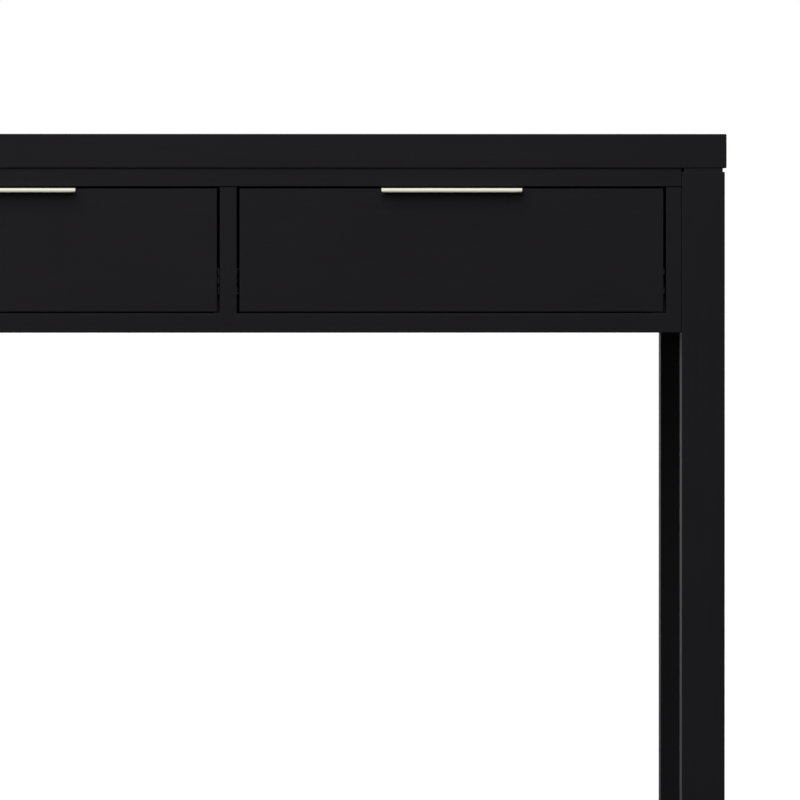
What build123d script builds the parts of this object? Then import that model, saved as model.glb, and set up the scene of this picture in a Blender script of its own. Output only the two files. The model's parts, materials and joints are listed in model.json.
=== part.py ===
from build123d import *

import math
import os

# Writing desk with three drawers side by side under a thick top on four square legs.
# Millimetres, +Z up, front towards -Y. The origin is on the floor, under the middle of
# the whole desk with its pulls.

# Tabletop
top_width = 1524.0
top_depth = 508.0
top_thickness = 36.0
top_edge_radius = 1.0
top_end_overhang = 1.8
top_front_overhang = 0.4
desk_height = 762.0

# Legs, with a short neck under the top and a nailed glide
leg_width = 45.5
leg_edge_radius = 1.2
leg_head_easing = 0.5
leg_neck_height = 4.0
leg_neck_side_inset = 2.2
leg_neck_front_inset = 0.6
glide_diameter = 26.0
glide_height = 5.0
glide_edge_radius = 1.5
glide_nail_diameter = 3.0
glide_nail_length = 16.0

# Rails and panels under the top
rail_setback = 1.5
rail_depth = 42.0
top_rail_height = 19.6
bottom_rail_height = 20.4
side_rail_thickness = 18.0
back_panel_thickness = 18.0
bay_panel_thickness = 16.5
divider_thickness = 18.0
eased_edge = 0.7
opening_easing = 1.0
shadow_line_height = 0.6
shadow_line_depth = 3.0

# Drawer openings and the gaps round the drawer fronts
drawer_names = ("left", "centre", "right")
opening_height = 133.8
front_side_gap = 2.8
front_top_gap = 2.0
front_bottom_gap = 1.6
front_setback = 1.0

# Drawer boards
front_thickness = 18.0
front_edge_radius = 0.8
side_thickness = 12.0
side_lift = 10.0
side_drop = 15.0
side_edge_radius = 1.5
back_thickness = 12.0
back_inset = 10.0
back_drop = 8.0
bottom_thickness = 5.0
bottom_rise = 9.0
bottom_play = 0.2
housing_depth = 6.0
box_rear_clearance = 44.0

# Edge pulls, bent from sheet over the top edge of each drawer front
pull_length = 148.5
pull_gauge = 1.6
pull_projection = 11.0
pull_lip_height = 4.8
pull_nose_radius = 2.0
pull_nose_turn = 55.0
pull_flange_height = 22.0
pull_seat_depth = 0.9
pull_end_play = 0.15
pull_screw_spacing = 96.0

# Ball-bearing slides: a channel on the frame, a channel on the drawer, a cage between
slide_height = 27.0
slide_thickness = 10.0
slide_gauge = 1.2
slide_bend_radius = 1.5
slide_lip = 2.0
slide_rise = 34.0
slide_front_offset = 20.0
slide_rear_margin = 16.0
slide_notch_height = 13.5
slide_notch_length = 14.0
drawer_travel = 290.0
running_gap = 0.2
cage_gauge = 0.6
cage_end_margin = 5.0
cage_rim = 0.7
flange_gap = 0.8
ball_diameter = 3.2
ball_hole_play = 0.2
balls_per_race = 4

# Countersunk screws, one kind throughout
screw_diameter = 3.5
screw_head_diameter = 7.0
screw_head_height = 2.0
screw_length = 9.5
screw_play = 0.1
screw_recess_width = 0.8
screw_recess_length = 3.6
screw_recess_depth = 1.0
slide_screw_margin = 30.0
slide_screw_stagger = 12.0

# Dowels
dowel_diameter = 8.0
dowel_length = 30.0
dowel_play = 0.1
dowel_end_play = 0.5
dowel_margin = 28.0

# Leg bolts, sunk in the bay panels, and the threaded inserts that they turn into
bolt_diameter = 6.0
bolt_head_diameter = 14.0
bolt_head_height = 3.0
bolt_socket_width = 4.0
bolt_socket_depth = 2.0
bolt_length = 40.0
bolt_play = 0.4
bolt_drop = 20.0
bolt_spacing = 40.0
insert_diameter = 9.0
insert_length = 18.0

# Angle brackets under the top
bracket_gauge = 2.0
bracket_width = 20.0
bracket_clearance = 2.0
bracket_bend_radius = 2.6
bracket_end_distance = 60.0

# Levels, from the floor up
apron_top = desk_height - top_thickness
opening_top = apron_top - top_rail_height
opening_bottom = opening_top - opening_height
apron_bottom = opening_bottom - bottom_rail_height
apron_middle = (apron_top + apron_bottom) / 2
apron_height = apron_top - apron_bottom
front_bottom = opening_bottom + front_bottom_gap
front_top = opening_top - front_top_gap
pull_top = front_top - pull_seat_depth + pull_gauge
side_bottom = front_bottom + side_lift
side_top = front_top - side_drop
groove_bottom = side_bottom + bottom_rise
groove_top = groove_bottom + bottom_thickness + bottom_play
slide_level = opening_bottom + slide_rise

# Depths, from the front back. The pulls may stand further out than the top's front edge.
pull_overhang = max(0.0, pull_projection - top_front_overhang - rail_setback - front_setback)
back_edge = (top_depth + pull_overhang) / 2
front_edge = back_edge - top_depth
leg_front = front_edge + top_front_overhang
leg_back = back_edge - top_front_overhang
rail_front = leg_front + rail_setback
rail_back = rail_front + rail_depth
rail_middle = (rail_front + rail_back) / 2
panel_back = leg_back - rail_setback - back_panel_thickness
drawer_face = rail_front + front_setback
box_front = drawer_face + front_thickness
box_back = panel_back - box_rear_clearance
slide_front = box_front + slide_front_offset
slide_back = box_back - slide_rear_margin
slide_length = slide_back - slide_front
cage_length = slide_length - drawer_travel - 2 * cage_end_margin

# Widths, from the middle out
leg_inner = top_width / 2 - top_end_overhang - leg_width
leg_outer = leg_inner + leg_width
side_rail_outer = leg_outer - rail_setback
opening_width = (2 * (leg_inner - bay_panel_thickness) - 2 * divider_thickness) / len(drawer_names)
drawer_pitch = opening_width + divider_thickness
drawer_middles = [(number - 1) * drawer_pitch for number in range(len(drawer_names))]
front_width = opening_width - 2 * front_side_gap
box_width = opening_width - 2 * slide_thickness
box_inner = box_width / 2 - side_thickness
side_groove = side_thickness / 2

# The upright panels that the slides hang on: name, left face, right face
panels = (
    ("left_bay_panel", -leg_inner, -leg_inner + bay_panel_thickness),
    ("left_divider", -(drawer_pitch + divider_thickness) / 2, -(drawer_pitch - divider_thickness) / 2),
    ("right_divider", (drawer_pitch - divider_thickness) / 2, (drawer_pitch + divider_thickness) / 2),
    ("right_bay_panel", leg_inner - bay_panel_thickness, leg_inner),
)


def facing(x, y, z, way):
    """A place at a point, with its own Z axis the given way."""
    return Plane(origin=(x, y, z), z_dir=way).location


def block(x_span, y_span, z_span, mode=Mode.ADD):
    """A block in the part being built, between two corners given as spans."""
    (x_low, x_high), (y_low, y_high), (z_low, z_high) = x_span, y_span, z_span
    with Locations((x_low, y_low, z_low)):
        Box(x_high - x_low, y_high - y_low, z_high - z_low, align=Align.MIN, mode=mode)


def dowel_holes(places):
    """Sockets for dowels in the part being built. A dowel's middle is on the joint."""
    with Locations(*places):
        Cylinder(
            (dowel_diameter + dowel_play) / 2,
            dowel_length + 2 * dowel_end_play,
            mode=Mode.SUBTRACT,
        )


def screw_holes(places):
    """Countersunk screw holes in the part being built. A place is the top of a screw's head."""
    flare = (screw_head_diameter - screw_diameter) / 2
    with Locations(*places):
        CounterSinkHole(
            radius=screw_diameter / 2 + screw_play,
            counter_sink_radius=screw_head_diameter / 2 + screw_play,
            depth=screw_length + screw_play,
            counter_sink_angle=2 * math.degrees(math.atan2(flare, screw_head_height)),
        )


def save(piece, name):
    """Labels a finished piece and writes it under its name."""
    piece.part.label = name
    export_step(piece.part, f"parts/{name}.step")


os.makedirs("parts", exist_ok=True)

# Places of the dowels, by joint
rail_levels = ((opening_top + apron_top) / 2, (apron_bottom + opening_bottom) / 2)
dowel_levels = (
    apron_middle - apron_height / 2 + dowel_margin,
    apron_middle,
    apron_middle + apron_height / 2 - dowel_margin,
)
rail_dowels = [
    facing(side * leg_inner, rail_middle + step * rail_depth / 3, level, (1, 0, 0))
    for side in (-1, 1)
    for step in (-1, 1)
    for level in rail_levels
]
side_rail_middle = side_rail_outer - side_rail_thickness / 2
side_rail_dowels = [
    facing(side * side_rail_middle, depth, level, (0, 1, 0))
    for side in (-1, 1)
    for depth in (leg_front + leg_width, leg_back - leg_width)
    for level in dowel_levels
]
back_panel_dowels = [
    facing(side * leg_inner, panel_back + back_panel_thickness / 2, level, (1, 0, 0))
    for side in (-1, 1)
    for level in dowel_levels
]
panel_middles = [(left + right) / 2 for _, left, right in panels]
panel_back_levels = [(low + high) / 2 for low, high in zip(dowel_levels, dowel_levels[1:])]
panel_back_dowels = [
    facing(x, panel_back, level, (0, 1, 0)) for x in panel_middles for level in panel_back_levels
]
panel_rail_dowels = [
    facing(x, rail_middle, level, (0, 0, 1)) for x in panel_middles for level in (opening_bottom, opening_top)
]

# Places of the leg bolts: half of the bay panel's overlap with each leg
bolt_depths = ((rail_front + leg_front + leg_width) / 2, (leg_back - leg_width + panel_back) / 2)
bolt_levels = (opening_top - bolt_drop, opening_top - bolt_drop - bolt_spacing)
bolt_places = [
    facing(side * (leg_inner - bay_panel_thickness), depth, level, (-side, 0, 0))
    for side in (-1, 1)
    for depth in bolt_depths
    for level in bolt_levels
]
insert_places = [
    facing(side * leg_inner, depth, level, (-side, 0, 0))
    for side in (-1, 1)
    for depth in bolt_depths
    for level in bolt_levels
]
bolt_reach = bolt_length + bolt_head_height - bay_panel_thickness

# Places of the angle brackets: on the panels' faces inside the two end drawer bays.
# Each is a point where the panel's face meets the top, and the way out of that face.
bracket_leg = top_rail_height - bracket_clearance
bracket_depths = (rail_back + bracket_end_distance, panel_back - bracket_end_distance)
bracket_spots = [
    (x, depth, hand)
    for x, hand in ((panels[0][2], 1), (panels[1][1], -1), (panels[2][2], 1), (panels[3][1], -1))
    for depth in bracket_depths
]
bracket_screw_reach = (bracket_gauge + bracket_leg) / 2
bracket_panel_screws = [
    facing(x + hand * bracket_gauge, depth, apron_top - bracket_screw_reach, (hand, 0, 0))
    for x, depth, hand in bracket_spots
]
bracket_top_screws = [
    facing(x + hand * bracket_screw_reach, depth, apron_top - bracket_gauge, (0, 0, -1))
    for x, depth, hand in bracket_spots
]

# Places of the slide screws. Hand 1 is a drawer's left side, -1 its right.
slide_screw_depths = (
    slide_front + slide_screw_margin,
    (slide_front + slide_back) / 2,
    slide_back - slide_screw_margin,
)


def slide_screws(middle, hand, reach, way):
    """Screw places along one slide, reach out from the opening's wall, heads the given way."""
    return [
        facing(
            middle - hand * (opening_width / 2 - reach),
            depth + hand * slide_screw_stagger / 2,
            slide_level,
            (way, 0, 0),
        )
        for depth in slide_screw_depths
    ]


frame_slide_screws = [
    place
    for middle in drawer_middles
    for hand in (1, -1)
    for place in slide_screws(middle, hand, slide_gauge, hand)
]

# Tabletop
with BuildPart() as tabletop:
    block((-top_width / 2, top_width / 2), (front_edge, back_edge), (apron_top, desk_height))
    fillet(tabletop.edges(), top_edge_radius)
    screw_holes(bracket_top_screws)
save(tabletop, "tabletop")

# Legs
leg_places = {
    f"{end}_{side}_leg": (x, y)
    for end, y in (("front", leg_front + leg_width / 2), ("back", leg_back - leg_width / 2))
    for side, x in (("left", -leg_inner - leg_width / 2), ("right", leg_inner + leg_width / 2))
}
for leg_name, (leg_x, leg_y) in leg_places.items():
    with BuildPart() as leg:
        with BuildSketch(Plane.XY.offset(glide_height)):
            with Locations((leg_x, leg_y)):
                Rectangle(leg_width, leg_width)
        extrude(amount=apron_top - leg_neck_height - glide_height)
        chamfer(leg.faces().sort_by(Axis.Z)[-1].edges(), leg_head_easing)
        fillet(leg.edges().filter_by(Axis.Z), leg_edge_radius)
        chamfer(leg.faces().sort_by(Axis.Z)[0].edges(), leg_edge_radius)
        with BuildSketch(Plane.XY.offset(apron_top - leg_neck_height)):
            with Locations((leg_x, leg_y)):
                Rectangle(leg_width - 2 * leg_neck_side_inset, leg_width - 2 * leg_neck_front_inset)
        extrude(amount=leg_neck_height)
        with Locations(facing(leg_x, leg_y, glide_height, (0, 0, -1))):
            Hole((glide_nail_diameter + screw_play) / 2, glide_nail_length + screw_play)
        with Locations(*insert_places):
            CounterBoreHole(
                radius=(bolt_diameter + bolt_play) / 2,
                counter_bore_radius=(insert_diameter + bolt_play) / 2,
                counter_bore_depth=insert_length,
                depth=bolt_reach + bolt_play,
            )
        dowel_holes(rail_dowels + side_rail_dowels + back_panel_dowels)
    save(leg, leg_name)

# Glides: a dished disc on a nail, one under each leg
with BuildPart() as glide:
    Cylinder(glide_diameter / 2, glide_height, align=(Align.CENTER, Align.CENTER, Align.MIN))
    fillet(glide.faces().sort_by(Axis.Z)[0].edges(), glide_edge_radius)
    with BuildSketch(Plane.XY.offset(glide_height)):
        Circle(glide_nail_diameter / 2)
    extrude(amount=glide_nail_length)
with BuildPart() as foot_glides:
    with Locations(*leg_places.values()):
        add(glide.part)
save(foot_glides, "foot_glides")

# Front rails, between the legs. The bottom rail's top edge is eased only at the openings,
# because the upright panels run into it with no line.
with BuildPart() as front_top_rail:
    block((-leg_inner, leg_inner), (rail_front, rail_back), (opening_top, apron_top))
    chamfer(front_top_rail.faces().sort_by(Axis.Y)[0].edges(), eased_edge)
    dowel_holes(rail_dowels + panel_rail_dowels)
save(front_top_rail, "front_top_rail")

with BuildPart() as front_bottom_rail:
    block((-leg_inner, leg_inner), (rail_front, rail_back), (apron_bottom, opening_bottom))
    front_edges = front_bottom_rail.faces().sort_by(Axis.Y)[0].edges()
    chamfer(front_edges.filter_by(Axis.Z) + front_edges.sort_by(Axis.Z)[:1], eased_edge)
    easing_side = math.sqrt(2) * opening_easing
    for middle in drawer_middles:
        with BuildSketch(Plane.YZ.offset(middle - opening_width / 2)) as easing:
            with Locations((rail_front, opening_bottom)):
                Rectangle(easing_side, easing_side, rotation=45)
        extrude(easing.sketch, amount=opening_width, mode=Mode.SUBTRACT)
    dowel_holes(rail_dowels + panel_rail_dowels)
save(front_bottom_rail, "front_bottom_rail")

# Side rails, from leg to leg at each end
for side_name, side in (("left", -1), ("right", 1)):
    with BuildPart() as side_rail:
        inner, outer = side * (side_rail_outer - side_rail_thickness), side * side_rail_outer
        block(
            (min(inner, outer), max(inner, outer)),
            (leg_front + leg_width, leg_back - leg_width),
            (apron_bottom, apron_top),
        )
        chamfer(side_rail.faces().sort_by(Axis.X)[0 if side < 0 else -1].edges(), eased_edge)
        dowel_holes(side_rail_dowels)
    save(side_rail, f"{side_name}_side_rail")

# Back panel, between the back legs
with BuildPart() as back_panel:
    block(
        (-leg_inner, leg_inner),
        (panel_back, panel_back + back_panel_thickness),
        (apron_bottom, apron_top),
    )
    chamfer(back_panel.faces().sort_by(Axis.Y)[-1].edges(), eased_edge)
    dowel_holes(back_panel_dowels + panel_back_dowels)
save(back_panel, "back_panel")

# Dividers and bay panels, notched at the front round both rails, with a shadow line under the top rail
for panel_name, left_face, right_face in panels:
    with BuildPart() as panel:
        with BuildSketch(Plane.YZ.offset(left_face)):
            with BuildLine():
                Polyline(
                    (rail_front, opening_bottom),
                    (rail_back, opening_bottom),
                    (rail_back, apron_bottom),
                    (panel_back, apron_bottom),
                    (panel_back, apron_top),
                    (rail_back, apron_top),
                    (rail_back, opening_top),
                    (rail_front + shadow_line_depth, opening_top),
                    (rail_front + shadow_line_depth, opening_top - shadow_line_height),
                    (rail_front, opening_top - shadow_line_height),
                    close=True,
                )
            make_face()
        extrude(amount=right_face - left_face)
        chamfer(panel.faces().sort_by(Axis.Y)[0].edges().filter_by(Axis.Z), eased_edge)
        if panel_name.endswith("bay_panel"):
            with Locations(*bolt_places):
                CounterBoreHole(
                    radius=(bolt_diameter + bolt_play) / 2,
                    counter_bore_radius=(bolt_head_diameter + bolt_play) / 2,
                    counter_bore_depth=bolt_head_height,
                    depth=bay_panel_thickness,
                )
        dowel_holes(panel_back_dowels + panel_rail_dowels)
        screw_holes(frame_slide_screws + bracket_panel_screws)
    save(panel, panel_name)

# Dowels
with BuildPart() as dowels:
    with Locations(
        *rail_dowels,
        *side_rail_dowels,
        *back_panel_dowels,
        *panel_back_dowels,
        *panel_rail_dowels,
    ):
        Cylinder(dowel_diameter / 2, dowel_length)
save(dowels, "dowels")

# Leg bolts with a hexagon socket, and the inserts in the legs
with BuildPart() as bolt:
    with BuildSketch(Plane.XY):
        Circle(bolt_head_diameter / 2)
    extrude(amount=-bolt_head_height)
    with BuildSketch(Plane.XY.offset(-bolt_head_height)):
        Circle(bolt_diameter / 2)
    extrude(amount=-bolt_length)
    with BuildSketch(Plane.XY):
        RegularPolygon(bolt_socket_width / 2, 6, major_radius=False)
    extrude(amount=-bolt_socket_depth, mode=Mode.SUBTRACT)
with BuildPart() as leg_bolts:
    with Locations(*bolt_places):
        add(bolt.part)
save(leg_bolts, "leg_bolts")

with BuildPart() as insert:
    with BuildSketch(Plane.XY):
        Circle(insert_diameter / 2)
        Circle((bolt_diameter + bolt_play) / 2, mode=Mode.SUBTRACT)
    extrude(amount=-insert_length)
with BuildPart() as leg_inserts:
    with Locations(*insert_places):
        add(insert.part)
save(leg_inserts, "leg_inserts")

# Angle brackets, each bent from strip
with BuildPart() as top_brackets:
    for x, depth, hand in bracket_spots:
        strip = Plane(
            origin=(x, depth - hand * bracket_width / 2, apron_top),
            x_dir=(hand, 0, 0),
            z_dir=(0, -hand, 0),
        )
        with BuildSketch(strip) as bent:
            with BuildLine():
                FilletPolyline(
                    (0, -bracket_leg),
                    (0, 0),
                    (bracket_leg, 0),
                    radius=bracket_bend_radius,
                )
                offset(amount=bracket_gauge, side=Side.RIGHT)
            make_face()
        extrude(bent.sketch, amount=-bracket_width)
    screw_holes(bracket_panel_screws + bracket_top_screws)
save(top_brackets, "top_brackets")

# One countersunk screw with a cross recess, and the screws of the frame
with BuildPart() as screw:
    with BuildSketch(Plane.XZ):
        with BuildLine():
            Polyline(
                (0, 0),
                (screw_head_diameter / 2, 0),
                (screw_diameter / 2, -screw_head_height),
                (screw_diameter / 2, -screw_length + screw_diameter / 2),
                (0, -screw_length),
                close=True,
            )
        make_face()
    revolve(axis=Axis.Z)
    with BuildSketch(Plane.XY):
        Rectangle(screw_recess_length, screw_recess_width)
        Rectangle(screw_recess_width, screw_recess_length)
    extrude(amount=-screw_recess_depth, mode=Mode.SUBTRACT)
with BuildPart() as frame_screws:
    with Locations(*frame_slide_screws, *bracket_panel_screws, *bracket_top_screws):
        add(screw.part)
save(frame_screws, "frame_screws")

# Slide sections, measured out from the opening's wall and up from the slide's middle
channel_depth = slide_thickness - slide_gauge - running_gap
channel_half = slide_height / 2
lip_level = channel_half - slide_gauge - slide_lip
member_half = channel_half - slide_gauge - ball_diameter - 2 * running_gap
cage_web = slide_gauge + 2 * running_gap
cage_edge = channel_depth - slide_gauge - running_gap
member_edge = cage_web + cage_gauge + flange_gap
ball_hole_radius = (ball_diameter + ball_hole_play) / 2
ball_reach = cage_edge - cage_rim - ball_hole_radius
ball_level = member_half + running_gap + ball_diameter / 2
cage_half = ball_level + cage_gauge / 2
cage_front = (slide_front + slide_back - cage_length) / 2
ball_step = cage_length / balls_per_race

# Section of a pull's lip: a tight nose, then a wide bend that ends upright at the lip's lower edge
turn_cosine = math.cos(math.radians(pull_nose_turn))
turn_sine = math.sin(math.radians(pull_nose_turn))
pull_lip_radius = (pull_lip_height - pull_nose_radius * (1 - turn_cosine)) / turn_cosine
pull_nose_reach = pull_nose_radius * turn_sine + pull_lip_radius * (1 - turn_sine)

for drawer_name, middle in zip(drawer_names, drawer_middles):
    drawer = f"{drawer_name}_drawer"
    left_side_screws = slide_screws(middle, 1, slide_thickness - slide_gauge, -1)
    right_side_screws = slide_screws(middle, -1, slide_thickness - slide_gauge, 1)
    drawer_slide_screws = left_side_screws + right_side_screws
    pull_screws = [
        facing(
            middle + step * pull_screw_spacing / 2,
            box_front + pull_gauge,
            pull_top - (pull_flange_height + pull_gauge) / 2,
            (0, 1, 0),
        )
        for step in (-1, 1)
    ]

    # Front: housings for the sides, a groove for the bottom, a seat for the pull
    with BuildPart() as drawer_front:
        block(
            (middle - front_width / 2, middle + front_width / 2),
            (drawer_face, box_front),
            (front_bottom, front_top),
        )
        fillet(drawer_front.faces().sort_by(Axis.Y)[0].edges(), front_edge_radius)
        for hand in (1, -1):
            near, far = middle - hand * box_width / 2, middle - hand * box_inner
            block(
                (min(near, far), max(near, far)),
                (box_front - housing_depth, box_front),
                (side_bottom, side_top),
                mode=Mode.SUBTRACT,
            )
        block(
            (middle - box_inner, middle + box_inner),
            (box_front - housing_depth, box_front),
            (groove_bottom, groove_top),
            mode=Mode.SUBTRACT,
        )
        block(
            (middle - pull_length / 2 - pull_end_play, middle + pull_length / 2 + pull_end_play),
            (drawer_face, box_front),
            (front_top - pull_seat_depth, front_top),
            mode=Mode.SUBTRACT,
        )
        screw_holes(pull_screws)
    save(drawer_front, f"{drawer}_front")

    # Sides: let into the front, grooved for the bottom, housed for the back
    back_rear = box_back - back_inset
    back_front = back_rear - back_thickness
    for side_name, hand in (("left", 1), ("right", -1)):
        outer = middle - hand * box_width / 2
        inner = middle - hand * box_inner
        groove = inner - hand * side_groove
        with BuildPart() as drawer_side:
            block(
                (min(outer, inner), max(outer, inner)),
                (box_front - housing_depth, box_back),
                (side_bottom, side_top),
            )
            top_edges = drawer_side.faces().sort_by(Axis.Z)[-1].edges().filter_by(Axis.Y)
            rear_edge = drawer_side.faces().sort_by(Axis.Y)[-1].edges().sort_by(Axis.Z)[-1:]
            fillet(top_edges + rear_edge, side_edge_radius)
            block(
                (min(groove, inner), max(groove, inner)),
                (box_front - housing_depth, box_back),
                (groove_bottom, groove_top),
                mode=Mode.SUBTRACT,
            )
            block(
                (min(groove, inner), max(groove, inner)),
                (back_front, back_rear),
                (groove_top, side_top - back_drop),
                mode=Mode.SUBTRACT,
            )
            screw_holes(drawer_slide_screws)
        save(drawer_side, f"{drawer}_{side_name}_side")

    with BuildPart() as drawer_back:
        reach = box_inner + side_groove
        block((middle - reach, middle + reach), (back_front, back_rear), (groove_top, side_top - back_drop))
    save(drawer_back, f"{drawer}_back")

    with BuildPart() as drawer_bottom:
        reach = box_inner + side_groove - bottom_play
        block(
            (middle - reach, middle + reach),
            (box_front - housing_depth + bottom_play, box_back),
            (groove_bottom, groove_bottom + bottom_thickness),
        )
    save(drawer_bottom, f"{drawer}_bottom")

    # Pull: a flange behind the front, a plate over its top edge, a lip bent down in front
    with BuildPart() as pull:
        with BuildSketch(Plane.YZ.offset(middle - pull_length / 2)):
            with BuildLine():
                flange_back = box_front + pull_gauge
                plate_front = drawer_face - pull_projection + pull_nose_reach
                Polyline(
                    (flange_back, pull_top - pull_flange_height),
                    (flange_back, pull_top),
                    (plate_front, pull_top),
                )
                nose = JernArc((plate_front, pull_top), (-1, 0), pull_nose_radius, pull_nose_turn)
                JernArc(nose @ 1, nose % 1, pull_lip_radius, 90 - pull_nose_turn)
                offset(amount=pull_gauge, side=Side.LEFT)
            make_face()
        extrude(amount=pull_length)
        screw_holes(pull_screws)
    save(pull, f"{drawer}_pull")

    with BuildPart() as pull_screw_pair:
        with Locations(*pull_screws):
            add(screw.part)
    save(pull_screw_pair, f"{drawer}_pull_screws")

    # Slides: frame channel with a notched front end, drawer channel, and a caged row of balls
    # above and below
    with BuildPart() as ball_cages:
        for hand in (1, -1):
            wall = middle - hand * opening_width / 2
            section = Plane(
                origin=(wall, cage_front, slide_level), x_dir=(hand, 0, 0), z_dir=(0, -hand, 0)
            )
            with BuildSketch(section) as cage_section:
                with BuildLine():
                    Polyline(
                        (cage_edge, cage_half),
                        (cage_web, cage_half),
                        (cage_web, -cage_half),
                        (cage_edge, -cage_half),
                    )
                    offset(amount=cage_gauge, side=Side.LEFT, kind=Kind.INTERSECTION)
                make_face()
            extrude(cage_section.sketch, amount=-hand * cage_length)
            ball_spots = [
                (wall + hand * ball_reach, cage_front + (number + 0.5) * ball_step, slide_level + race)
                for number in range(balls_per_race)
                for race in (-ball_level, ball_level)
            ]
            with Locations(*ball_spots):
                Cylinder(ball_hole_radius, 2 * cage_gauge, mode=Mode.SUBTRACT)
                Sphere(ball_diameter / 2)
    save(ball_cages, f"{drawer}_ball_cages")

    for side_name, hand in (("left", 1), ("right", -1)):
        section = Plane(
            origin=(middle - hand * opening_width / 2, slide_front, slide_level),
            x_dir=(hand, 0, 0),
            z_dir=(0, -hand, 0),
        )
        with BuildPart() as frame_channel:
            with BuildSketch(section):
                with BuildLine():
                    FilletPolyline(
                        (channel_depth, lip_level),
                        (channel_depth, channel_half),
                        (0, channel_half),
                        (0, -channel_half),
                        (channel_depth, -channel_half),
                        (channel_depth, -lip_level),
                        radius=slide_bend_radius,
                    )
                    offset(amount=slide_gauge, side=Side.LEFT)
                make_face()
            extrude(amount=-hand * slide_length)
            with BuildSketch(Plane(section.origin, x_dir=(0, 1, 0), z_dir=(hand, 0, 0))):
                SlotOverall(2 * slide_notch_length, slide_notch_height)
            extrude(amount=slide_gauge, mode=Mode.SUBTRACT)
            screw_holes(frame_slide_screws)
        save(frame_channel, f"{drawer}_{side_name}_frame_slide")

        with BuildPart() as drawer_channel:
            with BuildSketch(section):
                with BuildLine():
                    FilletPolyline(
                        (member_edge, member_half),
                        (slide_thickness, member_half),
                        (slide_thickness, -member_half),
                        (member_edge, -member_half),
                        radius=slide_bend_radius,
                    )
                    offset(amount=slide_gauge, side=Side.RIGHT)
                make_face()
            extrude(amount=-hand * slide_length)
            screw_holes(drawer_slide_screws)
        save(drawer_channel, f"{drawer}_{side_name}_drawer_slide")

    with BuildPart() as slide_screw_set:
        with Locations(*drawer_slide_screws):
            add(screw.part)
    save(slide_screw_set, f"{drawer}_slide_screws")
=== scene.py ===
import functools
import json
import math

import bpy
import numpy as np
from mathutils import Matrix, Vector


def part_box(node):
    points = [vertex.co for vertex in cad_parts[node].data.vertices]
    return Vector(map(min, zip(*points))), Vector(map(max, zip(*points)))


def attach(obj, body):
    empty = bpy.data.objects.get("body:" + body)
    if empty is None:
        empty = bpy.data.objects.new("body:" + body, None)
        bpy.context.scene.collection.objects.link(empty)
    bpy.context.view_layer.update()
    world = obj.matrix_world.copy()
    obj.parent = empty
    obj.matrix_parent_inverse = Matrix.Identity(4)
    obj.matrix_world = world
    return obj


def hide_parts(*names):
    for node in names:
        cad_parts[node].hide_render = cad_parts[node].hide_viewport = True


# A satin-black writing desk with three drawers. Lengths are metres, +Z up, the front towards -Y.
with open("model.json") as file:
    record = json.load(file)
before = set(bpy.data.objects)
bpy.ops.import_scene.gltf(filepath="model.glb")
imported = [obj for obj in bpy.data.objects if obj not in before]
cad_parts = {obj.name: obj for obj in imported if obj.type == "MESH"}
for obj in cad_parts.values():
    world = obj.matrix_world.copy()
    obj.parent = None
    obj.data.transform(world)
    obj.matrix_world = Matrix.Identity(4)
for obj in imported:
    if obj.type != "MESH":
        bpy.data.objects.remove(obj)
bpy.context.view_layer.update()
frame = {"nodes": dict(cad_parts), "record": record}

DRAWERS = ("left", "centre", "right")
AXES = ("X", "Y", "Z")

# Pulls: brass sheet, folded down behind the drawer front and bent over in front of it.
# The nose's turn is in degrees. Two countersunk screws hold the flange from behind.
PULL_GAUGE = 0.0016
PULL_FOLD_RADIUS = 0.0020
PULL_NOSE_RADIUS = 0.0020
PULL_NOSE_TURN = 55
PULL_LIP_HEIGHT = 0.0048
PULL_CORNER_RADIUS = 0.0013
PULL_EDGE_ROUNDING = 0.0003
PULL_EDGE_STEPS = 3
PULL_SHARP_ANGLE = math.radians(60)
PULL_CREASE_ANGLE = math.radians(40)
PULL_BEND_STEPS = 14
PULL_CORNER_STEPS = 8
PULL_LENGTH_STEPS = 24
SCREW_RADIUS = 0.00175
SCREW_HEAD_HEIGHT = 0.0020
SCREW_PLAY = 0.0001
HOLE_MARGIN = 0.0002
HOLE_STEPS = 48

# Finishes: the span that most of a noise lies in, the radians that a wave texture turns in a unit of
# distance, how far growth rings are drawn out along the grain, and how many bands a veneer's noise has
NOISE_SPAN = (0.3, 0.7)
WAVE_RADIANS = 20.0
RING_DRAW = 0.07
VENEER_BANDS = 46.0

# The picture: its size in pixels, where the desk's middle and top edge lie in it, and the eye's place
PICTURE_SIDE = 800
METRES_PER_PIXEL = 0.0010555
MIDDLE_COLUMN = 5.0
TOP_ROW = 133.95
EYE_HEIGHT = 0.64
EYE_DISTANCE = 14.3
SENSOR_WIDTH = 36.0

# Studio: a pale floor, an even room, a softbox before the front, and an even wash from either side.
# The floor's lift is a glow that the camera sees. Gloss comes to see it as Y goes over FLOOR_BEHIND.
# In gloss the room rises from FRONT_GLOSS to white as the cosine of the angle from WHITE_SIDE goes
# over WHITE_RISE. A wash is a name, a place that it shines from, and a strength.
FLOOR_REACH = 150.0
FLOOR_COLOUR = (0.9, 0.9, 0.9, 1.0)
FLOOR_BOUNCE = (0.11, 0.11, 0.11, 1.0)
FLOOR_LIFT = 0.4
FLOOR_BEHIND = (4.0, 20.0)
WHITE = (1.0, 1.0, 1.0, 1.0)
ROOM_LIGHT = 0.15
FRONT_GLOSS = 0.03
WHITE_SIDE = (-0.3, 0.5, 0.8)
WHITE_RISE = (-0.65, 0.3)
LIT_POINT = (0.2, -0.25, 0.5)
SOFTBOX_PLACE = (-0.1, -2.1, 1.9)
SOFTBOX_SIZE = (1.4, 2.4)
SOFTBOX_POWER = 38.5
WASHES = (("front_wash", (-1.2, -0.9, 2.9), 0.9), ("back_wash", (1.0, 1.6, 2.0), 1.5))
WASH_SPREAD = math.radians(60)

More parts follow.
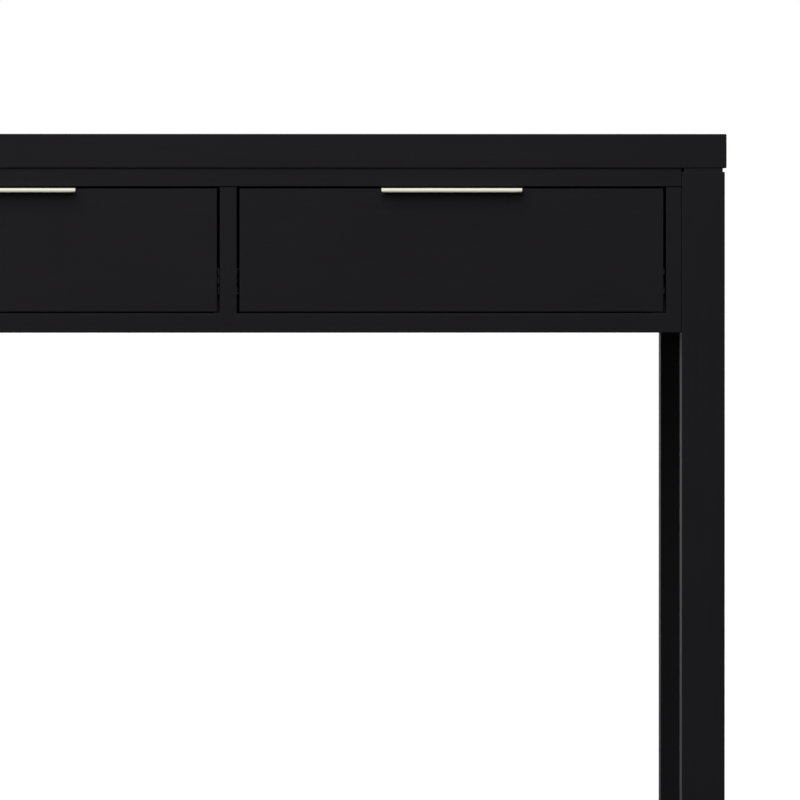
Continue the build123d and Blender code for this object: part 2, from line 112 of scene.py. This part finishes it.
# Places of the paired sockets on a Mix node, and of its colour output
MIX_NUMBERS = (2, 3)
MIX_COLOURS = (6, 7)
MIX_COLOUR_OUTPUT = 2


# Meshes

def mesh_object(name, points, faces, finish):
    """A new object at the origin from an array of points and a list of faces."""
    mesh = bpy.data.meshes.new(name)
    mesh.from_pydata(points.reshape(-1, 3).tolist(), [], faces)
    mesh.materials.append(finish)
    made = bpy.data.objects.new(name, mesh)
    bpy.context.scene.collection.objects.link(made)
    return made


def grid_faces(rows, columns):
    """Faces of a grid of points, stored row by row: a point, the next, and the two above them."""
    corner = np.arange(rows - 1)[:, None] * columns + np.arange(columns - 1)[None, :]
    corner = corner.ravel()
    return np.stack([corner, corner + 1, corner + columns + 1, corner + columns], axis=1).tolist()


def arc(centre, radius, start, end, steps):
    """Points on a circle: the centre plus the radius times the cosine and sine of even angles."""
    angles = np.radians(np.linspace(start, end, steps))
    return np.array(centre) + radius * np.stack([np.cos(angles), np.sin(angles)], axis=1)


def pull_section(low, high):
    """The middle line of a pull's sheet, as points of Y and Z, from the flange's foot to the lip's end.

    It runs up the flange, round a quarter circle, forward along the plate, round a tight nose, and down
    a wide bend that ends upright. The bend's outer radius is the lip's height, less the nose's radius
    times one minus the cosine of the nose's turn, over that cosine.
    """
    half_gauge = PULL_GAUGE / 2
    back, top = high.y - half_gauge, high.z - half_gauge
    fold, nose = PULL_FOLD_RADIUS - half_gauge, PULL_NOSE_RADIUS - half_gauge
    turn = math.radians(PULL_NOSE_TURN)
    lip_radius = (PULL_LIP_HEIGHT - PULL_NOSE_RADIUS * (1 - math.cos(turn))) / math.cos(turn)
    bend = lip_radius - half_gauge
    bend_centre = (low.y + lip_radius, high.z - PULL_LIP_HEIGHT)
    nose_centre = (bend_centre[0] - (bend - nose) * math.sin(turn), top - nose)
    nose_end = 90 + PULL_NOSE_TURN
    return np.concatenate([
        np.array([[back, low.z]]),
        arc((back - fold, top - fold), fold, 0, 90, PULL_BEND_STEPS),
        arc(nose_centre, nose, 90, nose_end, PULL_BEND_STEPS),
        arc(bend_centre, bend, nose_end, 180, PULL_BEND_STEPS)[1:],
    ])


def screw_cutter(low, high, finish):
    """Two cones along Y that cut the holes for a pull's screws, whose box runs from low to high.

    The flare is the head's radius less the shank's, over the head's height. A cone's radius is the
    head's radius plus the play, less the flare times the depth. It starts a little behind the sheet
    and ends a little before it, with a flat face on each end.
    """
    head_radius = (high.z - low.z) / 2
    flare = (head_radius - SCREW_RADIUS) / SCREW_HEAD_HEIGHT
    depths = np.array([-HOLE_MARGIN, PULL_GAUGE + HOLE_MARGIN])
    radii = (head_radius + SCREW_PLAY - flare * depths)[:, None]
    middles = np.array([low.x + head_radius, high.x - head_radius])[:, None, None]
    angles = np.linspace(0, math.tau, HOLE_STEPS, endpoint=False)
    points = np.empty((len(middles), len(depths), HOLE_STEPS, 3))
    points[..., 0] = middles + radii * np.cos(angles)
    points[..., 1] = (high.y - depths)[:, None]
    points[..., 2] = (low.z + high.z) / 2 + radii * np.sin(angles)
    back = np.arange(HOLE_STEPS)
    front = back + HOLE_STEPS
    sides = np.stack([back, np.roll(back, -1), np.roll(front, -1), front], axis=1)
    faces = []
    for start in (0, 2 * HOLE_STEPS):
        faces += [*(sides + start).tolist(), (back[::-1] + start).tolist(), (front + start).tolist()]
    return mesh_object("screw_cutter", points, faces, finish)


def pull_strip(name, low, high, finish):
    """The middle surface of a pull that fills the box from low to high.

    Its section is carried along X on a grid. Near the lip's end the half length shrinks by
    r - sqrt(r^2 - (r - d)^2), with d the distance left to the end, which rounds both corners.
    """
    section = pull_section(low, high)
    corner = PULL_CORNER_RADIUS
    stretch = np.concatenate([[0.0], np.cumsum(np.linalg.norm(np.diff(section, axis=0), axis=1))])
    length = stretch[-1]
    ease = corner * (1 - np.cos(np.radians(np.linspace(90, 0, PULL_CORNER_STEPS))))
    stops = np.concatenate([stretch[stretch < length - corner], length - ease])
    short = np.clip(corner - (length - stops), 0, corner)
    half_length = (high.x - low.x) / 2 - corner + np.sqrt(corner ** 2 - short ** 2)
    across = np.linspace(-1, 1, PULL_LENGTH_STEPS)
    points = np.empty((len(stops), len(across), 3))
    points[..., 0] = (low.x + high.x) / 2 + half_length[:, None] * across[None, :]
    points[..., 1] = np.interp(stops, stretch, section[:, 0])[:, None]
    points[..., 2] = np.interp(stops, stretch, section[:, 1])[:, None]
    return mesh_object(name, points, grid_faces(len(stops), len(across)), finish)


def shape_pull(pull, cutter):
    """Gives a pull's strip its thickness, rounds its edges, cuts its holes and keeps that as its mesh."""
    pull.data.shade_smooth()
    sheet = pull.modifiers.new("sheet", "SOLIDIFY")
    sheet.thickness = PULL_GAUGE
    sheet.offset = 0.0
    rounding = pull.modifiers.new("rounded edges", "BEVEL")
    rounding.width = PULL_EDGE_ROUNDING
    rounding.segments = PULL_EDGE_STEPS
    rounding.limit_method = "ANGLE"
    rounding.angle_limit = PULL_SHARP_ANGLE
    holes = pull.modifiers.new("screw holes", "BOOLEAN")
    holes.object = cutter
    shaped = pull.evaluated_get(bpy.context.evaluated_depsgraph_get())
    pull.data = bpy.data.meshes.new_from_object(shaped)
    pull.data.set_sharp_from_angle(angle=PULL_CREASE_ANGLE)
    pull.modifiers.clear()
    bpy.data.objects.remove(cutter)


# Finishes. A run is the axis that the grain or the brushing runs along.

def add_node(tree, kind, values=None, **settings):
    """Adds a shader node. Values go on its inputs: a socket is linked, the rest is set."""
    made = tree.nodes.new("ShaderNode" + kind)
    for name, value in settings.items():
        setattr(made, name, value)
    for key, value in (values or {}).items():
        if isinstance(value, bpy.types.NodeSocket):
            tree.links.new(value, made.inputs[key])
        else:
            made.inputs[key].default_value = value
    return made


def calculate(tree, operation, first, second):
    """The result of a Math node."""
    return add_node(tree, "Math", {0: first, 1: second}, operation=operation).outputs[0]


def start_finish(name, constants):
    """A new material with constants on its shader: it, its tree, its shader and Object coordinates."""
    material = bpy.data.materials.new(name)
    material.use_nodes = True
    tree = material.node_tree
    shader = tree.nodes["Principled BSDF"]
    for socket, value in constants.items():
        shader.inputs[socket].default_value = value
    place = add_node(tree, "TexCoord").outputs["Object"]
    return material, tree, shader, place


def noise(tree, place, patches, detail=2.0):
    """Soft noise with that many patches per metre on X, Y and Z."""
    scaled = add_node(tree, "Mapping", {"Vector": place, "Scale": patches}).outputs[0]
    return add_node(tree, "TexNoise", {"Vector": scaled, "Scale": 1.0, "Detail": detail}).outputs[0]


def cloud(tree, place, patches, detail=2.0):
    """Noise with as many patches per metre every way."""
    return noise(tree, place, (patches, patches, patches), detail)


def grain(tree, place, run, across, along, detail=3.0):
    """Noise drawn out along the run: so many patches per metre across it and along it."""
    return noise(tree, place, tuple(along if axis == run else across for axis in AXES), detail)


def spread(tree, value, low, high):
    """Carries the usual span of a noise onto the span from low to high."""
    spans = {"Value": value, "From Min": NOISE_SPAN[0], "From Max": NOISE_SPAN[1]}
    return add_node(tree, "MapRange", {**spans, "To Min": low, "To Max": high}).outputs[0]


def ramp(tree, value, dark, pale, span=NOISE_SPAN):
    """A colour from dark at the span's start to pale at its end."""
    made = add_node(tree, "ValToRGB", {"Fac": value})
    for stop, place, colour in zip(made.color_ramp.elements, span, (dark, pale)):
        stop.position = place
        stop.color = (*colour, 1.0)
    return made.outputs[0]


def combine(tree, first, second, share):
    """A sum of two values: a share of the second, and the rest of the first."""
    kept = calculate(tree, "MULTIPLY", first, 1 - share)
    return calculate(tree, "ADD", kept, calculate(tree, "MULTIPLY", second, share))


def dress(tree, shader, colour, roughness, height, depth):
    """Links a colour, a roughness and a relief of that depth in metres to the shader."""
    tree.links.new(colour, shader.inputs["Base Color"])
    tree.links.new(roughness, shader.inputs["Roughness"])
    relief = add_node(tree, "Bump", {"Height": height, "Distance": depth})
    tree.links.new(relief.outputs[0], shader.inputs["Normal"])


def black_lacquer(run):
    """Satin black lacquer: a faint trace of grain in its sheen, over a sprayed skin's fine ripple."""
    material, tree, shader, place = start_finish(f"black_lacquer_{run}", {"Specular IOR Level": 0.15})
    drift = cloud(tree, place, patches=7)
    fibres = grain(tree, place, run, across=420, along=9)
    ripple = cloud(tree, place, patches=520)
    shade = combine(tree, drift, fibres, share=0.5)
    colour = ramp(tree, shade, dark=(0.0121, 0.0111, 0.0127), pale=(0.0149, 0.0137, 0.0156))
    roughness = spread(tree, combine(tree, drift, fibres, share=0.6), low=0.50, high=0.59)
    dress(tree, shader, colour, roughness, ripple, depth=0.000012)
    return material


def pale_gold(run):
    """Pale gold plating, brushed along its length: hair lines, and broader streaks among them."""
    material, tree, shader, place = start_finish(f"pale_gold_{run}", {"Metallic": 1.0})
    lines = grain(tree, place, run, across=3600, along=16)
    streaks = grain(tree, place, run, across=700, along=5)
    brushing = combine(tree, lines, streaks, share=0.5)
    colour = ramp(tree, brushing, dark=(0.84, 0.845, 0.69), pale=(1.0, 1.0, 0.87), span=(0.38, 0.62))
    dress(tree, shader, colour, spread(tree, brushing, low=0.24, high=0.38), lines, depth=0.000006)
    return material


def plated_steel(name, run, dark, pale, smooth, rough):
    """Zinc-plated steel: streaks drawn out along the piece, and a cloudy bloom on the plating."""
    material, tree, shader, place = start_finish(f"{name}_{run}", {"Metallic": 1.0})
    streaks = grain(tree, place, run, across=900, along=14)
    bloom = cloud(tree, place, patches=90, detail=4.0)
    colour = ramp(tree, combine(tree, streaks, bloom, share=0.6), dark, pale)
    dress(tree, shader, colour, spread(tree, bloom, smooth, rough), streaks, depth=0.000008)
    return material


def slide_zinc(run):
    """Bright zinc on rolled slide channels."""
    dark, pale = (0.47, 0.49, 0.52), (0.66, 0.67, 0.69)
    return plated_steel("slide_zinc", run, dark, pale, smooth=0.26, rough=0.40)


def fastener_zinc(run):
    """Duller zinc on screws, bolts and brackets."""
    dark, pale = (0.40, 0.41, 0.43), (0.58, 0.58, 0.60)
    return plated_steel("fastener_zinc", run, dark, pale, smooth=0.30, rough=0.46)


def sawn_wood(name, run, dark, pale, ring_spacing, pith):
    """Clear-finished solid wood.

    Growth rings are circles round a line along the grain, a little outside the board, bent by noise
    drawn out on the grain. Fine fibres streak the wood between them.
    """
    material, tree, shader, place = start_finish(f"{name}_{run}", {"Specular IOR Level": 0.4})
    draw = tuple(RING_DRAW if axis == run else 1.0 for axis in AXES)
    ringed = add_node(tree, "Mapping", {"Vector": place, "Location": pith, "Scale": draw}).outputs[0]
    wave = {"Vector": ringed, "Scale": math.tau / (WAVE_RADIANS * ring_spacing)}
    bends = {"Distortion": 9.0, "Detail": 2.0, "Detail Scale": 0.25}
    kind = {"wave_type": "RINGS", "rings_direction": run, "wave_profile": "SAW"}
    rings = add_node(tree, "TexWave", {**wave, **bends}, **kind).outputs[1]
    fibres = grain(tree, place, run, across=1100, along=16)
    drift = grain(tree, place, run, across=22, along=4, detail=2.0)
    figure = combine(tree, combine(tree, fibres, rings, share=0.3), drift, share=0.3)
    colour = ramp(tree, figure, dark, pale, span=(0.28, 0.68))
    dress(tree, shader, colour, spread(tree, fibres, low=0.38, high=0.52), fibres, depth=0.00002)
    return material


def drawer_wood(run):
    """Pale solid wood of the drawer sides and backs."""
    dark, pale = (0.46, 0.29, 0.14), (0.66, 0.47, 0.27)
    return sawn_wood("drawer_wood", run, dark, pale, ring_spacing=0.006, pith=(0.031, 0.017, 0.043))


def dowel_beech(run):
    """Bare beech, close grained."""
    dark, pale = (0.47, 0.30, 0.16), (0.62, 0.44, 0.27)
    return sawn_wood("dowel_beech", run, dark, pale, ring_spacing=0.0015, pith=(0.004, 0.003, 0.002))


def drawer_plywood(run):
    """Peeled veneer: wavy bands where the knife crossed the growth rings, streaked with fine fibres.

    The bands are the sine of a drawn-out noise times their number, carried onto the span from 0 to 1.
    """
    material, tree, shader, place = start_finish(f"drawer_plywood_{run}", {"Specular IOR Level": 0.4})
    figure = grain(tree, place, run, across=26, along=3.5, detail=4.0)
    turned = calculate(tree, "MULTIPLY", figure, VENEER_BANDS)
    waves = add_node(tree, "Math", {0: turned}, operation="SINE").outputs[0]
    bands = add_node(tree, "MapRange", {"Value": waves, "From Min": -1.0}).outputs[0]
    fibres = grain(tree, place, run, across=1300, along=22)
    face = combine(tree, fibres, bands, share=0.28)
    colour = ramp(tree, face, dark=(0.50, 0.33, 0.17), pale=(0.70, 0.52, 0.31), span=(0.25, 0.72))
    dress(tree, shader, colour, spread(tree, fibres, low=0.42, high=0.56), fibres, depth=0.000015)
    return material


def glide_nylon(run):
    """Black moulded nylon with a fine stipple."""
    material, tree, shader, place = start_finish(f"glide_nylon_{run}", {"Specular IOR Level": 0.4})
    stipple = cloud(tree, place, patches=1800)
    drift = cloud(tree, place, patches=120)
    colour = ramp(tree, drift, dark=(0.020, 0.020, 0.021), pale=(0.034, 0.034, 0.035))
    dress(tree, shader, colour, spread(tree, stipple, low=0.45, high=0.6), stipple, depth=0.00002)
    return material


FINISHES = {
    made.__name__: made
    for made in (
        black_lacquer,
        pale_gold,
        slide_zinc,
        fastener_zinc,
        drawer_wood,
        drawer_plywood,
        dowel_beech,
        glide_nylon,
    )
}


@functools.cache
def finish_along(slot, run):
    """The finish of a slot with its grain along that axis. Each is made once."""
    return FINISHES[slot](run)


def finish_for(slot, node):
    """The finish of a slot, with its grain along the node's longest side."""
    low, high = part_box(node)
    sides = high - low
    return finish_along(slot, AXES[max(range(3), key=lambda axis: sides[axis])])


# Each node of the frame takes the finish of its slot
for part in frame["record"]["subparts"]:
    for holder in frame["nodes"][part["node"]].material_slots:
        holder.material = finish_for(part["material_slot"], part["node"])

# Each pull is drawn anew over its node
for drawer in DRAWERS:
    node_name = f"{drawer}_drawer_pull"
    finish = finish_for("pale_gold", node_name)
    pull = pull_strip(f"{drawer}_drawer_bent_pull", *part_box(node_name), finish)
    shape_pull(pull, screw_cutter(*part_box(f"{node_name}_screws"), finish))
    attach(pull, f"{drawer}_drawer")
    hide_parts(node_name)


# Studio

def shown_rays(tree):
    """Light Path, and a value that is 1 for camera and transmitted rays."""
    rays = add_node(tree, "LightPath")
    camera, transmitted = rays.outputs["Is Camera Ray"], rays.outputs["Is Transmission Ray"]
    return rays, calculate(tree, "MAXIMUM", camera, transmitted)


def blend_numbers(tree, share, first, second):
    """A number that goes from the first to the second with the share."""
    ends = dict(zip(MIX_NUMBERS, (first, second)))
    return add_node(tree, "Mix", {"Factor": share, **ends}).outputs[0]


def blend_colours(tree, share, first, second):
    """A colour that goes from the first to the second with the share."""
    ends = dict(zip(MIX_COLOURS, (first, second)))
    mixed = add_node(tree, "Mix", {"Factor": share, **ends}, data_type="RGBA")
    return mixed.outputs[MIX_COLOUR_OUTPUT]


def smooth_rise(tree, value, span, low=0.0):
    """A smooth rise from low to 1 as the value goes over the span."""
    spans = {"Value": value, "From Min": span[0], "From Max": span[1], "To Min": low}
    return add_node(tree, "MapRange", spans, interpolation_type="SMOOTHSTEP").outputs[0]


def lay_floor():
    """A wide pale floor, lifted to white where no shadow falls, with a dim bounce.

    The lift is for camera rays, and for gloss where the floor lies well behind the desk.
    """
    material = bpy.data.materials.new("pale_floor")
    material.use_nodes = True
    tree = material.node_tree
    tree.nodes.clear()
    rays, seen = shown_rays(tree)
    position = add_node(tree, "NewGeometry").outputs["Position"]
    depth = add_node(tree, "SeparateXYZ", {0: position}).outputs["Y"]
    behind = smooth_rise(tree, depth, FLOOR_BEHIND)
    mirrored = calculate(tree, "MULTIPLY", rays.outputs["Is Glossy Ray"], behind)
    lifted = calculate(tree, "MAXIMUM", seen, mirrored)
    colour = blend_colours(tree, lifted, FLOOR_BOUNCE, FLOOR_COLOUR)
    paint = add_node(tree, "BsdfDiffuse", {"Color": colour}).outputs[0]
    strength = calculate(tree, "MULTIPLY", lifted, FLOOR_LIFT)
    lift = add_node(tree, "Emission", {"Strength": strength}).outputs[0]
    both = add_node(tree, "AddShader", {0: paint, 1: lift}).outputs[0]
    add_node(tree, "OutputMaterial", {"Surface": both})
    side = np.array([-FLOOR_REACH, FLOOR_REACH])
    points = np.stack([*np.meshgrid(side, side), np.zeros((2, 2))], axis=-1)
    floor = mesh_object("floor", points, grid_faces(2, 2), material)


def light_room():
    """An even room that camera rays see as white. In gloss it is dark before the desk, white elsewhere.

    Cycles doesn't sample it as a lamp, because its strength depends on the kind of ray.
    """
    world = bpy.data.worlds.new("studio")
    world.use_nodes = True
    world.cycles.sampling_method = "NONE"
    tree = world.node_tree
    tree.nodes.clear()
    rays, seen = shown_rays(tree)
    way = add_node(tree, "TexCoord").outputs["Generated"]
    towards = Vector(WHITE_SIDE).normalized()
    turned = add_node(tree, "VectorMath", {0: way, 1: towards}, operation="DOT_PRODUCT")
    gloss = smooth_rise(tree, turned.outputs["Value"], WHITE_RISE, low=FRONT_GLOSS)
    light = blend_numbers(tree, rays.outputs["Is Glossy Ray"], ROOM_LIGHT, gloss)
    strength = blend_numbers(tree, seen, light, 1.0)
    room = add_node(tree, "Background", {"Color": WHITE, "Strength": strength}).outputs[0]
    add_node(tree, "OutputWorld", {"Surface": room})
    bpy.context.scene.world = world


def hang_lights():
    """The softbox and the washes. Gloss shows the room in place of the lamps."""
    softbox = bpy.data.lights.new("softbox", "AREA")
    softbox.shape = "RECTANGLE"
    softbox.size, softbox.size_y = SOFTBOX_SIZE
    softbox.energy = SOFTBOX_POWER
    lamps = [(softbox, SOFTBOX_PLACE)]
    for name, place, strength in WASHES:
        wash = bpy.data.lights.new(name, "SUN")
        wash.energy = strength
        wash.angle = WASH_SPREAD
        lamps.append((wash, place))
    for lamp, place in lamps:
        made = bpy.data.objects.new(lamp.name, lamp)
        made.location = place
        made.rotation_euler = (Vector(place) - Vector(LIT_POINT)).to_track_quat("Z", "Y").to_euler()
        made.visible_camera = False
        made.visible_glossy = False
        bpy.context.scene.collection.objects.link(made)


def set_camera():
    """A long lens far in front of the desk's middle, turned to its right half."""
    low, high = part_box("tabletop")
    half = PICTURE_SIDE / 2
    right = (half - MIDDLE_COLUMN) * METRES_PER_PIXEL
    down = (half - TOP_ROW) * METRES_PER_PIXEL
    target = Vector((right, low.y, high.z - down))
    eye = Vector((0.0, low.y - EYE_DISTANCE, EYE_HEIGHT))
    data = bpy.data.cameras.new("camera")
    data.sensor_width = SENSOR_WIDTH
    data.lens = SENSOR_WIDTH * (target - eye).length / (PICTURE_SIDE * METRES_PER_PIXEL)
    data.clip_end = 2 * FLOOR_REACH
    camera = bpy.data.objects.new("camera", data)
    camera.location = eye
    camera.rotation_euler = (target - eye).to_track_quat("-Z", "Y").to_euler()
    bpy.context.scene.collection.objects.link(camera)
    bpy.context.scene.camera = camera


lay_floor()
light_room()
hang_lights()
set_camera()
bpy.context.scene.view_settings.view_transform = "Standard"
